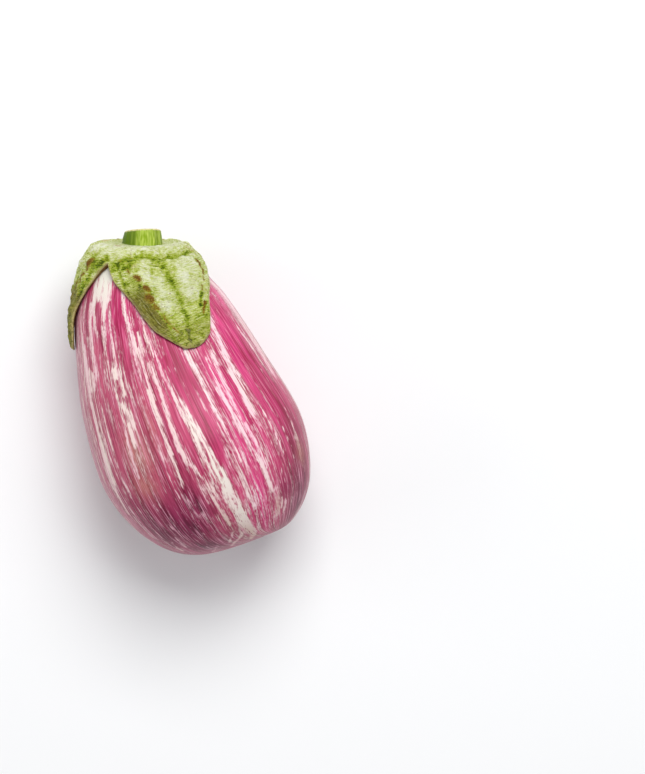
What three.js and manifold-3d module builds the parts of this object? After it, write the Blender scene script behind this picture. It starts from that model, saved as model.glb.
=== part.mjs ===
// A striped eggplant as picked, lying on its side: the fruit, its green cap of five lobes,
// and the cut stub of its stem. Millimetres, +Z up, with the stem towards +Y.
import * as THREE from 'three';
import { mergeVertices } from 'three/addons/utils/BufferGeometryUtils.js';
import Module from 'manifold-3d';

const wasm = await Module();
wasm.setup();

// The fruit, as rings across its length from the blossom end to the stem end: the centre
// of each ring, its radius, and how far its plane has turned towards +X (yaw) and up
// (pitch), in degrees. The neck bends, so the last rings lean.
const RINGS = [
  { y: -72.1, x: 12.2, z: 45.4, radius: 0, yaw: 0, pitch: -3 },
  { y: -69.1, x: 4.4, z: 45.7, radius: 22.4, yaw: 0, pitch: -3 },
  { y: -54.9, x: 1.9, z: 46.2, radius: 37.5, yaw: 0, pitch: -4 },
  { y: -29.4, x: 0.2, z: 45.2, radius: 45.2, yaw: 0, pitch: -5 },
  { y: 3.0, x: -1.1, z: 41.1, radius: 41.5, yaw: 0, pitch: -5 },
  { y: 27.5, x: 0.0, z: 38.9, radius: 35.7, yaw: 2, pitch: -3 },
  { y: 42.8, x: 1.8, z: 38.9, radius: 30.6, yaw: 9.5, pitch: 1 },
  { y: 60.4, x: 6.8, z: 40.3, radius: 19.9, yaw: 22, pitch: 7 },
  { y: 61.1, x: 8.0, z: 40.7, radius: 0, yaw: 24, pitch: 9 },
];
const FRUIT_COLUMNS = 56;
const FRUIT_ROWS = 34;
const FLOOR_BLOCK = 200;

// The cap. An angle is in degrees round the fruit, 0 on top and rising towards +X. A reach
// is how far along the fruit something lies from the stem end, as a share of its length.
const GAP = 0.3;
const CROWN_THICKNESS = 2.8;
const CROWN_ROWS = [0.24, 0.44, 0.6, 0.74, 0.86, 0.94, 1];
const NOTCH_REACH = 0.153;
const CREASE_REACH = 0.137;
const CREASE_WIDTH = 0.012;
const CREASE_DEPTH = 1.6;
const CREASE_ANGLE = 28;
const CREASE_SPREAD = 42;
const LIP_REACH = 0.114;
const LIP_WIDTH = 0.025;
const LIP_HEIGHT = 1.8;
const EDGE_LIFT = 0.6;
const PUCKER_HEIGHT = 0.28;
const PUCKER_LENGTH = 6.5;
const MM_PER_REACH = 148;
const THORN_RADIUS = 2.2;

// Each lobe runs from a notch on its left to the next notch. Its edges are rows of how far
// down the lobe, left angle, right angle, and its section is rows of how far across from
// -1 to 1, height over the skin. The tip is bowed, and leans up towards its right. The
// swell scales the section, in rows of how far down.
const SWELL = [[0, 1], [0.5, 0.96], [0.8, 0.85], [1, 0.7]];
const LOBES = [
  {
    name: 'front',
    reach: 0.464,
    bow: 0.012,
    lean: 0.008,
    columns: 28,
    rows: 17,
    edges: [
      [0, -31.3, 98], [0.07, -27.3, 88], [0.15, -22.4, 79], [0.26, -13.5, 69.5], [0.38, -7.5, 62],
      [0.5, -4.5, 56], [0.63, -2, 50.5], [0.79, 2.5, 45], [0.89, 8.5, 41], [1, 16, 36],
    ],
    section: [
      [-1, 1.6], [-0.8, 2.8], [-0.6, 4.4], [-0.35, 3.6], [0.05, 2.6], [0.45, 3.4],
      [0.8, 3.1], [1, 1.6],
    ],
    thorns: [
      [-4, 0.173, 1.2], [-1, 0.205, 1.3], [3, 0.245, 1.5], [4, 0.285, 1.5], [6, 0.345, 1.2],
      [10, 0.4, 0.9], [59, 0.215, 0.6], [54, 0.262, 0.8], [46, 0.325, 0.8],
      [41, 0.37, 0.7],
    ],
  },
  {
    name: 'right',
    reach: 0.33,
    bow: 0.03,
    lean: 0,
    columns: 12,
    rows: 11,
    edges: [
      [0, 98, 146], [0.12, 111, 143], [0.35, 116, 139], [0.65, 120, 135], [0.88, 123, 132],
      [1, 125, 130],
    ],
    section: [[-1, 1.7], [-0.5, 2.9], [0, 4.2], [0.5, 2.9], [1, 1.7]],
    thorns: [[126, 0.165, 1.1], [129, 0.205, 1.2], [127, 0.25, 0.9]],
  },
  {
    name: 'under',
    reach: 0.315,
    bow: 0.03,
    lean: 0,
    columns: 12,
    rows: 11,
    edges: [
      [0, 146, 192], [0.15, 152, 188], [0.4, 155, 183], [0.7, 160, 178], [0.9, 165, 174],
      [1, 168, 172],
    ],
    section: [[-1, 1.7], [-0.5, 2.7], [0, 3.8], [0.5, 2.7], [1, 1.7]],
    thorns: [[168, 0.17, 1.0], [170, 0.215, 1.0]],
  },
  {
    name: 'hidden',
    reach: 0.34,
    bow: 0.03,
    lean: 0,
    columns: 12,
    rows: 11,
    edges: [
      [0, 192, 240], [0.15, 198, 235], [0.4, 203, 231], [0.7, 208, 226], [0.9, 213, 222],
      [1, 216, 220],
    ],
    section: [[-1, 1.7], [-0.5, 2.8], [0, 4.0], [0.5, 2.8], [1, 1.7]],
    thorns: [[216, 0.165, 1.1], [218, 0.21, 1.2], [217, 0.26, 1.0]],
  },
  {
    name: 'left',
    reach: 0.352,
    bow: 0.012,
    lean: 0,
    columns: 20,
    rows: 14,
    edges: [
      [0, 240, 328.7], [0.1, 243, 320.5], [0.21, 246, 312], [0.32, 249, 303.5], [0.44, 252, 295],
      [0.57, 255.5, 289.5], [0.7, 259, 287], [0.85, 264, 287], [1, 271, 284],
    ],
    section: [[-1, 1.4], [-0.55, 1.6], [-0.05, 2.3], [0.45, 2.5], [1, 1.5]],
    thorns: [
      [305, 0.155, 1.0], [301, 0.185, 1.0], [296, 0.215, 0.9], [289, 0.245, 0.8], [282, 0.285, 0.7],
      [269, 0.245, 0.9], [270, 0.215, 0.7],
    ],
  },
];

// The stem: a short stub that stands on the crown of the cap.
const FOOT_REACH = 0.051;
const STEM_LENGTH = 6.0;
const STEM_COLUMNS = 54;
const STEM_RIBS = 5;
const RIB_HEIGHT = 0.25;
const CUT_SLANT = 1.7;
const SLANT_ANGLE = 22;
const STEM_PROFILE = [[0, 8.8], [0.14, 8.7], [0.4, 8.5], [0.7, 8.2], [0.9, 7.8], [1, 6.9]];
const STEM_ROWS = [0.07, 0.16, 0.3, 0.5, 0.7, 0.84, 0.94, 1];
const CUT_ROWS = [[0.86, -0.1], [0.62, -0.5], [0.3, -0.45]];

const FRUIT_FINISH = { color: 0xa8578a, roughness: 0.38, metalness: 0 };
const CALYX_FINISH = { color: 0x93a94b, roughness: 0.62, metalness: 0 };
const STEM_FINISH = { color: 0x86a33c, roughness: 0.65, metalness: 0 };

const radians = THREE.MathUtils.degToRad;
const smoothstep = THREE.MathUtils.smoothstep;
const bump = (distance, width) => Math.exp(-((distance / width) ** 2));

// The value of a smooth curve through rows of [position, values...], at a position.
function through(rows, position, column = 1) {
  let i = 0;
  while (i < rows.length - 2 && position > rows[i + 1][0]) i += 1;
  const slope = (k) => {
    const before = rows[Math.max(k - 1, 0)];
    const after = rows[Math.min(k + 1, rows.length - 1)];
    return (after[column] - before[column]) / (after[0] - before[0]);
  };
  const [start, end] = [rows[i], rows[i + 1]];
  const width = end[0] - start[0];
  const u = THREE.MathUtils.clamp((position - start[0]) / width, 0, 1);
  const rise = end[column] - start[column];
  const ease = u * u * (3 - 2 * u);
  const leave = slope(i) * width * u * (1 - u) ** 2;
  const arrive = slope(i + 1) * width * u * u * (u - 1);
  return start[column] + rise * ease + leave + arrive;
}

// The rings as rows for the smooth curve. A mirrored ring past each end, with its radius
// turned round, closes the fruit in a smooth dome.
const LAST_RING = RINGS.length - 1;
const ringRow = (ring, place, side = 1) => [
  place, ring.x, ring.y, ring.z, side * ring.radius, ring.yaw, ring.pitch,
];
const BODY = [
  ringRow(RINGS[1], -1, -1),
  ...RINGS.map((ring, place) => ringRow(ring, place)),
  ringRow(RINGS[LAST_RING - 1], LAST_RING + 1, -1),
];

// The ring at a reach: its centre, its radius and its three directions.
function ringAt(reach) {
  const place = (1 - reach) * LAST_RING;
  const [x, y, z, radius, yawDegrees, pitchDegrees] = [1, 2, 3, 4, 5, 6]
    .map((column) => through(BODY, place, column));
  const yaw = radians(yawDegrees);
  const pitch = radians(pitchDegrees);
  const across = new THREE.Vector3(Math.cos(yaw), -Math.sin(yaw), 0);
  const along = new THREE.Vector3(
    Math.sin(yaw) * Math.cos(pitch),
    Math.cos(yaw) * Math.cos(pitch),
    Math.sin(pitch),
  );
  const up = new THREE.Vector3().crossVectors(across, along);
  return { centre: new THREE.Vector3(x, y, z), radius, across, along, up };
}

// The point at an angle and a distance from a ring's centre.
function onRing(ring, angle, distance) {
  return ring.centre.clone()
    .addScaledVector(ring.across, distance * Math.sin(radians(angle)))
    .addScaledVector(ring.up, distance * Math.cos(radians(angle)));
}

// A point of the fruit's skin.
function skinPoint(angle, reach) {
  const ring = ringAt(reach);
  return onRing(ring, angle, ring.radius);
}

// The skin's outward direction, from three points close together.
function skinNormal(angle, reach) {
  const step = 1e-3;
  if (reach < step) return ringAt(0).along;
  const here = skinPoint(angle, reach);
  const down = skinPoint(angle, reach + step).sub(here);
  const round = skinPoint(angle + 1, reach).sub(here);
  return down.cross(round).normalize();
}

function overSkin(angle, reach, height) {
  return skinPoint(angle, reach).addScaledVector(skinNormal(angle, reach), height);
}

// Collects the points and faces of one closed body.
class Body {
  constructor() {
    this.points = [];
    this.faces = [];
  }

  point(vector) {
    this.points.push(vector.x, vector.y, vector.z);
    return this.points.length / 3 - 1;
  }

  // A strip between two rows of points, in the order that faces it outwards.
  strip(first, second) {
    for (let i = 0; i < first.length - 1; i += 1) {
      const [a, b, c, d] = [first[i], second[i], second[i + 1], first[i + 1]];
      if (a !== b) this.faces.push(a, b, c);
      if (c !== d) this.faces.push(a, c, d);
    }
  }

  strips(rows) {
    for (let i = 0; i < rows.length - 1; i += 1) this.strip(rows[i], rows[i + 1]);
  }

  geometry() {
    const geometry = new THREE.BufferGeometry();
    geometry.setAttribute('position', new THREE.Float32BufferAttribute(this.points, 3));
    geometry.setIndex(this.faces);
    return geometry;
  }
}

const turned = (rows) => rows.map((row) => [...row].reverse());
const column = (rows, place) => rows.map((row) => row.at(place));

// A closed row of points round a centre, and a row that is one point repeated.
function roundRow(body, columns, place) {
  const row = Array.from({ length: columns }, (_, i) => body.point(place((360 * i) / columns)));
  return [...row, row[0]];
}

function poleRow(body, columns, vector) {
  return new Array(columns + 1).fill(body.point(vector));
}

function toSolid(geometry) {
  const plain = geometry.clone();
  plain.deleteAttribute('normal');
  plain.deleteAttribute('uv');
  const merged = mergeVertices(plain);
  const mesh = new wasm.Mesh({
    numProp: 3,
    vertProperties: new Float32Array(merged.attributes.position.array),
    triVerts: new Uint32Array(merged.index.array),
  });
  return new wasm.Manifold(mesh);
}

function toGeometry(solid) {
  const { vertProperties, triVerts } = solid.getMesh();
  const geometry = new THREE.BufferGeometry();
  geometry.setAttribute('position', new THREE.BufferAttribute(vertProperties, 3));
  geometry.setIndex(new THREE.BufferAttribute(triVerts, 1));
  return geometry;
}

function named(name, geometry, finish) {
  geometry.computeVertexNormals();
  const mesh = new THREE.Mesh(geometry, new THREE.MeshStandardMaterial(finish));
  mesh.name = name;
  return mesh;
}

// The fruit, with the small flat spot that it rests on cut at floor level.
function makeFruit() {
  const body = new Body();
  const rows = [poleRow(body, FRUIT_COLUMNS, skinPoint(0, 0))];
  for (let i = 1; i < FRUIT_ROWS; i += 1) {
    rows.push(roundRow(body, FRUIT_COLUMNS, (angle) => skinPoint(angle, i / FRUIT_ROWS)));
  }
  rows.push(poleRow(body, FRUIT_COLUMNS, skinPoint(0, 1)));
  body.strips(rows);
  const floor = new THREE.BoxGeometry(FLOOR_BLOCK, FLOOR_BLOCK, FLOOR_BLOCK);
  floor.translate(0, 0, -FLOOR_BLOCK / 2);
  return toGeometry(toSolid(body.geometry()).subtract(toSolid(floor)));
}

// The cap's low, rounded puckers, which fade out where the stem stands.
function pucker(angle, reach) {
  const place = skinPoint(angle, reach).multiplyScalar((2 * Math.PI) / PUCKER_LENGTH);
  const wave = Math.sin(place.x + 0.7 * place.z) * Math.sin(0.8 * place.y - 0.5 * place.x)
    + 0.6 * Math.sin(0.9 * place.z + 0.4 * place.y);
  return PUCKER_HEIGHT * wave * smoothstep(reach, FOOT_REACH + 0.01, FOOT_REACH + 0.05);
}

// The crown's height over the skin: a rounded lip, then the crease that the front lobe
// hangs from.
function crownHeight(angle, reach) {
  const lip = LIP_HEIGHT * bump(reach - LIP_REACH, LIP_WIDTH);
  const turn = THREE.MathUtils.euclideanModulo(angle - CREASE_ANGLE + 180, 360) - 180;
  const crease = CREASE_DEPTH * bump(reach - CREASE_REACH, CREASE_WIDTH);
  return CROWN_THICKNESS + lip - crease * bump(turn, CREASE_SPREAD);
}

// The height of the thorn-like knobs near a place on a lobe.
function thornHeight(lobe, angle, reach) {
  const roundness = radians(ringAt(reach).radius);
  return lobe.thorns.reduce((height, [thornAngle, thornReach, rise]) => {
    const round = (angle - thornAngle) * roundness;
    const down = (reach - thornReach) * MM_PER_REACH;
    return height + rise * bump(Math.hypot(round, down), THORN_RADIUS);
  }, 0);
}

// A place on a lobe, from how far across it is (-1 to 1) and how far down (0 to 1).
function lobePlace(lobe, across, down) {
  const left = through(lobe.edges, down, 1);
  const right = through(lobe.edges, down, 2);
  const angle = THREE.MathUtils.lerp(left, right, (across + 1) / 2);
  const tip = lobe.reach - lobe.bow * across * across - lobe.lean * across;
  return { angle, reach: THREE.MathUtils.lerp(NOTCH_REACH, tip, down) };
}

function lobeOutside(lobe, across, down, place) {
  const crown = crownHeight(place.angle, place.reach);
  const section = through(lobe.section, across) * through(SWELL, down);
  const hang = smoothstep(down, 0, 0.22);
  const lift = EDGE_LIFT * across ** 2 * smoothstep(down, 0.1, 0.6);
  const height = THREE.MathUtils.lerp(crown, section + lift, hang);
  const relief = thornHeight(lobe, place.angle, place.reach) + pucker(place.angle, place.reach);
  return overSkin(place.angle, place.reach, GAP + height + relief * (1 - 0.6 * across ** 4));
}

function lobeInside(lobe, across, down, place) {
  const lift = EDGE_LIFT * across ** 2 * smoothstep(down, 0.1, 0.6);
  return overSkin(place.angle, place.reach, GAP + lift);
}

// One face of the cap, outer or inner: the rows of the crown, then the rows of each lobe.
function capFace(body, crownPoint, lobePoint) {
  const angles = LOBES.flatMap(({ columns, edges: [[, left, right]] }) => (
    Array.from({ length: columns }, (_, i) => left + ((right - left) * i) / columns)
  ));
  const crown = [new Array(angles.length + 1).fill(body.point(crownPoint(0, 0)))];
  CROWN_ROWS.forEach((share) => {
    const row = angles.map((angle) => body.point(crownPoint(angle, share * NOTCH_REACH)));
    crown.push([...row, row[0]]);
  });
  let start = 0;
  const lobes = LOBES.map((lobe) => {
    const rows = [crown.at(-1).slice(start, start + lobe.columns + 1)];
    for (let j = 1; j <= lobe.rows; j += 1) {
      rows.push(Array.from({ length: lobe.columns + 1 }, (_, i) => {
        const across = (2 * i) / lobe.columns - 1;
        const place = lobePlace(lobe, across, j / lobe.rows);
        return body.point(lobePoint(lobe, across, j / lobe.rows, place));
      }));
    }
    start += lobe.columns;
    return rows;
  });
  return { crown, lobes };
}

// The cap: an outer and an inner face, joined by walls round the edge of every lobe.
function makeCalyx() {
  const body = new Body();
  const outside = capFace(
    body,
    (angle, reach) => (
      overSkin(angle, reach, GAP + crownHeight(angle, reach) + pucker(angle, reach))
    ),
    lobeOutside,
  );
  const inside = capFace(body, (angle, reach) => overSkin(angle, reach, GAP), lobeInside);
  body.strips(outside.crown);
  body.strips(turned(inside.crown));
  LOBES.forEach((_, i) => {
    const [outer, inner] = [outside.lobes[i], inside.lobes[i]];
    body.strips(outer);
    body.strips(turned(inner));
    body.strip(column(outer, 0), column(inner, 0));
    body.strip(column(inner, -1), column(outer, -1));
    body.strip(outer.at(-1), inner.at(-1));
  });
  return body.geometry();
}

// The stem: its foot follows the crown, its side is ribbed, and its cut end is dished.
function makeStem() {
  const body = new Body();
  const seat = ringAt(0);
  const crownTop = (angle, reach) => (
    overSkin(angle, reach, 2 * GAP + crownHeight(angle, reach))
  );
  const rootPoint = (angle, share) => crownTop(angle, share * FOOT_REACH);
  const topCentre = crownTop(0, 0).addScaledVector(seat.along, STEM_LENGTH);
  const rib = (angle) => RIB_HEIGHT * Math.cos(radians(STEM_RIBS * angle));
  const cutPoint = (angle, share, rise) => {
    const distance = share * (through(STEM_PROFILE, 1) + rib(angle));
    const slant = CUT_SLANT * share * Math.cos(radians(angle - SLANT_ANGLE));
    return onRing({ ...seat, centre: topCentre }, angle, distance)
      .addScaledVector(seat.along, rise + slant);
  };
  const sidePoint = (angle, share) => {
    const foot = rootPoint(angle, 1);
    const top = cutPoint(angle, 1, 0);
    const height = THREE.MathUtils.lerp(
      foot.clone().sub(seat.centre).dot(seat.along),
      top.clone().sub(seat.centre).dot(seat.along),
      share,
    );
    const ribbed = rib(angle) * smoothstep(share, 0, 0.3);
    return onRing(seat, angle, through(STEM_PROFILE, share) + ribbed)
      .addScaledVector(seat.along, height);
  };
  const footRows = [0.35, 0.7, 1].map((share) => (
    roundRow(body, STEM_COLUMNS, (angle) => rootPoint(angle, share))
  ));
  const sideRows = STEM_ROWS.map((share) => (
    roundRow(body, STEM_COLUMNS, (angle) => sidePoint(angle, share))
  ));
  const cutRows = CUT_ROWS.map(([share, rise]) => (
    roundRow(body, STEM_COLUMNS, (angle) => cutPoint(angle, share, rise))
  ));
  body.strips([
    poleRow(body, STEM_COLUMNS, cutPoint(0, 0, -0.5)),
    ...cutRows.reverse(),
    ...sideRows.reverse(),
    ...footRows.reverse(),
    poleRow(body, STEM_COLUMNS, crownTop(0, 0)),
  ]);
  return body.geometry();
}

const eggplant = new THREE.Group();
eggplant.add(named('fruit', makeFruit(), FRUIT_FINISH));
eggplant.add(named('calyx', makeCalyx(), CALYX_FINISH));
eggplant.add(named('stem', makeStem(), STEM_FINISH));

export default eggplant;
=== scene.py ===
"""A striped eggplant as picked, lying on its side on a pale table.

The fruit has a smooth skin streaked with cream and magenta. Its green cap of five lobes
sits over the neck, and the cut stub of the stem stands on the cap.
"""

import math

import bpy
import numpy as np
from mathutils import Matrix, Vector, noise


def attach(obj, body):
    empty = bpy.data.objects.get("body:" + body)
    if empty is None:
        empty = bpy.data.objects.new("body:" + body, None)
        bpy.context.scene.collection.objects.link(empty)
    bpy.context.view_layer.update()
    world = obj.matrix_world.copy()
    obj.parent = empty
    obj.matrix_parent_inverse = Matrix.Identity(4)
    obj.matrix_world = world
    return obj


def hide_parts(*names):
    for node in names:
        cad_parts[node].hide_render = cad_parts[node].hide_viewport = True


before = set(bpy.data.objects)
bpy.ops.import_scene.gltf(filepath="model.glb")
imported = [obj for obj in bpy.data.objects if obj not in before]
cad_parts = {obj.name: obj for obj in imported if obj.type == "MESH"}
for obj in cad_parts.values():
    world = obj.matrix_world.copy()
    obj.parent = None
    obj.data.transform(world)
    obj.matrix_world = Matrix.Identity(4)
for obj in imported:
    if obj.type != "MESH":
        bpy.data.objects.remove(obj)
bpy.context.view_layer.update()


# ---------------------------------------------------------------------------------------
# Camera. It looks straight down from above, turned so that the fruit lies at a slant with
# its stem at the upper left. Here and below, lengths are in millimetres unless a comment
# gives another unit, and MM turns them into metres.
MM = 0.001
CAMERA_PLACE = (58.3, -22.0, 1893.6)
CAMERA_TURN = math.radians(-22)
LENS = 200
SENSOR_WIDTH = 36
CLIP_METRES = 10

bpy.ops.object.select_all(action="DESELECT")
bpy.ops.object.camera_add(
    location=[value * MM for value in CAMERA_PLACE], rotation=(0, 0, CAMERA_TURN)
)
camera = bpy.context.object
camera.data.lens = LENS
camera.data.sensor_width = SENSOR_WIDTH
camera.data.clip_end = CLIP_METRES
bpy.context.scene.camera = camera


# ---------------------------------------------------------------------------------------
# Studio. A pale matt table, one large soft lamp beyond the stem, weaker ones on the other
# three sides, and even light from all round.
TABLE_METRES = 6.0
TABLE_COLOUR = (0.86, 0.86, 0.86, 1)
TABLE_ROUGHNESS = 0.8
SURROUND_COLOUR = (0.93, 0.96, 1.0, 1)
SURROUND_STRENGTH = 0.36
# Each lamp: name, place (to the camera's right, up its view and towards it) in metres, size
# in metres, watts.
LAMPS = [
    ("key_lamp", (0.2, 0.65, 1.15), 0.8, 16),
    ("right_lamp", (1.0, -0.1, 0.75), 0.7, 1.2),
    ("left_lamp", (-1.1, 0.0, 0.55), 0.8, 3.4),
    ("near_lamp", (0.0, -1.0, 0.6), 0.8, 1.2),
]

view_right = Vector((math.cos(CAMERA_TURN), math.sin(CAMERA_TURN), 0))
view_up = Vector((-math.sin(CAMERA_TURN), math.cos(CAMERA_TURN), 0))
for name, (right, up, near), size, watts in LAMPS:
    place = view_right * right + view_up * up + Vector((0, 0, near))
    bpy.ops.object.light_add(type="AREA", location=place)
    lamp = bpy.context.object
    lamp.name = name
    lamp.data.size = size
    lamp.data.energy = watts
    lamp.rotation_euler = (-place).to_track_quat("-Z", "Y").to_euler()

surround = bpy.data.worlds.new("surround")
surround.use_nodes = True
surround.node_tree.nodes["Background"].inputs["Color"].default_value = SURROUND_COLOUR
surround.node_tree.nodes["Background"].inputs["Strength"].default_value = SURROUND_STRENGTH
bpy.context.scene.world = surround
bpy.context.scene.view_settings.view_transform = "Standard"


def new_finish(name):
    """A material, its nodes and its main shader."""
    finish = bpy.data.materials.new(name)
    finish.use_nodes = True
    return finish, finish.node_tree, finish.node_tree.nodes["Principled BSDF"]


bpy.ops.object.select_all(action="DESELECT")
bpy.ops.mesh.primitive_plane_add(size=TABLE_METRES)
table_top = bpy.context.object
table_top.name = "table_top"
table_finish, _, table_shader = new_finish("pale_table")
table_shader.inputs["Base Color"].default_value = TABLE_COLOUR
table_shader.inputs["Roughness"].default_value = TABLE_ROUGHNESS
table_top.data.materials.append(table_finish)


# ---------------------------------------------------------------------------------------
# The fruit. One grown body of firm pale flesh under a thin waxy skin, thickest low down,
# with a neck that bends to one side. It is grown from a sphere: every point keeps its angle
# round the fruit and its reach, the share of the way from the stem end to the blossom end.

# Rings, from the blossom end: place, x, y, z, radius, yaw and pitch in degrees.
RINGS = [
    (0, 12.2, -72.1, 45.4, 0, 0, -3),
    (1, 4.4, -69.1, 45.7, 22.4, 0, -3),
    (2, 1.9, -54.9, 46.2, 37.5, 0, -4),
    (3, 0.2, -29.4, 45.2, 45.2, 0, -5),
    (4, -1.1, 3.0, 41.1, 41.5, 0, -5),
    (5, 0.0, 27.5, 38.9, 35.7, 2, -3),
    (6, 1.8, 42.8, 38.9, 30.6, 9.5, 1),
    (7, 6.8, 60.4, 40.3, 19.9, 22, 7),
    (8, 8.0, 61.1, 40.7, 0, 24, 9),
]
LAST_RING = len(RINGS) - 1
FRUIT_COLUMNS = 288
FRUIT_ROWS = 224
SKIN_INSET = 0.12
# The streaks run from the stem end to the blossom scar, which is turned to the underside.
# Low down they spread a little, by this many degrees.
SCAR_ANGLE = 190
SCAR_REACH = 0.93
SCAR_DEPTH = 0.7
SCAR_RADIUS = 2.6
STREAK_SPREAD = 6
STREAK_RADIUS = 40.0
STREAK_LENGTH = 190.0
# How a stroke of colour is laid: the share of its half width that is used, the steps along
# it, how many half widths off it still counts, and how full it is at its middle and how
# fast it fades.
STROKE_SHARE = 0.66
STROKE_STEPS = 60
STROKE_LIMIT = 3
STROKE_FULL = 1.15
STROKE_FADE = 0.62


def rows_at(rows, position):
    """Values of smooth curves through rows of (position, values...), at many positions."""
    table = np.array(rows, float)
    places, values = table[:, 0], table[:, 1:]
    last = len(rows) - 1
    before = np.maximum(np.arange(last + 1) - 1, 0)
    after = np.minimum(np.arange(last + 1) + 1, last)
    slopes = (values[after] - values[before]) / (places[after] - places[before])[:, None]
    position = np.atleast_1d(np.asarray(position, float))
    i = np.clip(np.searchsorted(places, position) - 1, 0, last - 1)
    width = (places[i + 1] - places[i])[..., None]
    u = np.clip((position[..., None] - places[i][..., None]) / width, 0, 1)
    ease = u * u * (3 - 2 * u)
    leave = slopes[i] * width * u * (1 - u) ** 2
    arrive = slopes[i + 1] * width * u * u * (u - 1)
    return values[i] + (values[i + 1] - values[i]) * ease + leave + arrive


def smooth(value, low, high):
    u = np.clip((value - low) / (high - low), 0, 1)
    return u * u * (3 - 2 * u)


def mirrored(ring, place):
    """A ring past an end, with its radius turned round, so that the end is a dome."""
    return (place, *ring[1:4], -ring[4], *ring[5:])


BODY = [mirrored(RINGS[1], -1), *RINGS, mirrored(RINGS[-2], LAST_RING + 1)]


def ring_at(reach):
    """Centre, radius and the three directions of the rings at these reaches."""
    values = rows_at(BODY, (1 - np.asarray(reach, float)) * LAST_RING)
    centre, radius = values[..., :3], values[..., 3]
    yaw, pitch = np.radians(values[..., 4]), np.radians(values[..., 5])
    across = np.stack([np.cos(yaw), -np.sin(yaw), 0 * yaw], -1)
    along = np.stack(
        [np.sin(yaw) * np.cos(pitch), np.cos(yaw) * np.cos(pitch), np.sin(pitch)], -1
    )
    return centre, radius, across, along, np.cross(across, along)


def skin_point(angle, reach):
    """Points of the skin, in millimetres, at angles in degrees and reaches."""
    centre, radius, across, _, up = ring_at(reach)
    turn = np.radians(np.asarray(angle, float))[..., None]
    return centre + radius[..., None] * (np.sin(turn) * across + np.cos(turn) * up)


def skin_normal(angle, reach):
    """The skin's outward directions."""
    angle, reach = np.broadcast_arrays(np.asarray(angle, float), np.asarray(reach, float))
    step = 1e-3
    inner = np.clip(reach, step, 1 - 2 * step)
    here = skin_point(angle, inner)
    down = skin_point(angle, inner + step) - here
    around = skin_point(angle + 1, inner) - here
    normal = np.cross(down, around)
    return normal / np.linalg.norm(normal, axis=-1, keepdims=True)


def streak_frame(angle, reach):
    """How far round the streaks a point lies, as an angle in radians. The lines that keep
    this angle run from the stem end to the scar."""
    spread = math.radians(STREAK_SPREAD) * smooth(reach, 0.55, 0.8)
    turn = np.radians(angle)
    turn = turn - spread * np.sin(turn)
    away = np.tan(np.clip(reach, 0.002, 0.998) * math.pi / 2)
    place = away * np.exp(1j * turn)
    scar = math.tan(SCAR_REACH * math.pi / 2) * np.exp(1j * math.radians(SCAR_ANGLE))
    return np.angle(place * scar / (scar - place))


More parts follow.
